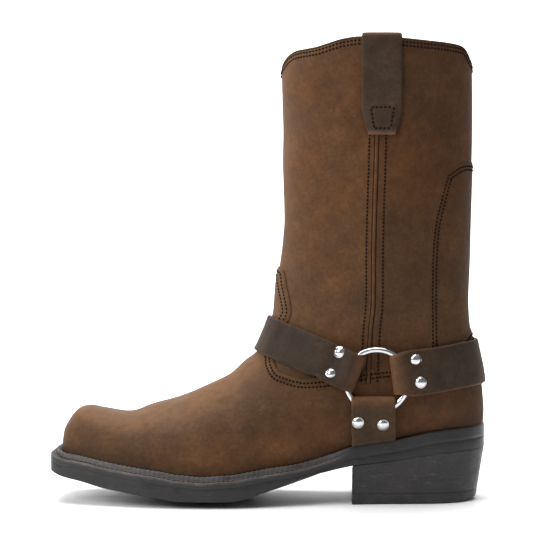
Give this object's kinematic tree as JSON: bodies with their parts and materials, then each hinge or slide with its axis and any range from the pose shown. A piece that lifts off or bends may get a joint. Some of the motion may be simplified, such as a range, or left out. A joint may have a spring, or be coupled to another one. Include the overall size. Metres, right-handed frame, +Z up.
{
  "type": "harness boot",
  "caption": "Left pull-on harness boot: square toe, storm welt, block heel, straight shaft, and straps riveted to a ring on each side",
  "frame": {"origin": "on the floor, under the middle of the boot's box", "axes": "+Z up, -X to the toe, -Y to the outer side of the left foot"},
  "size_m": [0.3072, 0.1108, 0.3242],
  "materials": {
    "upper": "oiled, matt",
    "harness": "oiled, dark",
    "pull_strap": "oiled, dark",
    "lining": "smooth, tan",
    "sole": "satin black",
    "heel": "satin black",
    "ring": "polished",
    "rivet": "polished"
  },
  "bodies": {
    "root": {"upper": "upper", "insole": "lining", "outsole": "sole", "welt": "sole", "heel_block": "heel", "heel_cap": "heel", "front_strap": "harness", "back_strap": "harness", "outer_down_strap": "harness", "inner_down_strap": "harness", "outer_pull_strap": "pull_strap", "inner_pull_strap": "pull_strap", "outer_ring": "ring", "inner_ring": "ring", "outer_front_rivet_1": "rivet", "outer_front_rivet_2": "rivet", "outer_back_rivet_1": "rivet", "outer_back_rivet_2": "rivet", "outer_down_rivet_1": "rivet", "outer_down_rivet_2": "rivet", "inner_front_rivet_1": "rivet", "inner_front_rivet_2": "rivet", "inner_back_rivet_1": "rivet", "inner_back_rivet_2": "rivet", "inner_down_rivet_1": "rivet", "inner_down_rivet_2": "rivet"}
  },
  "joints": []
}
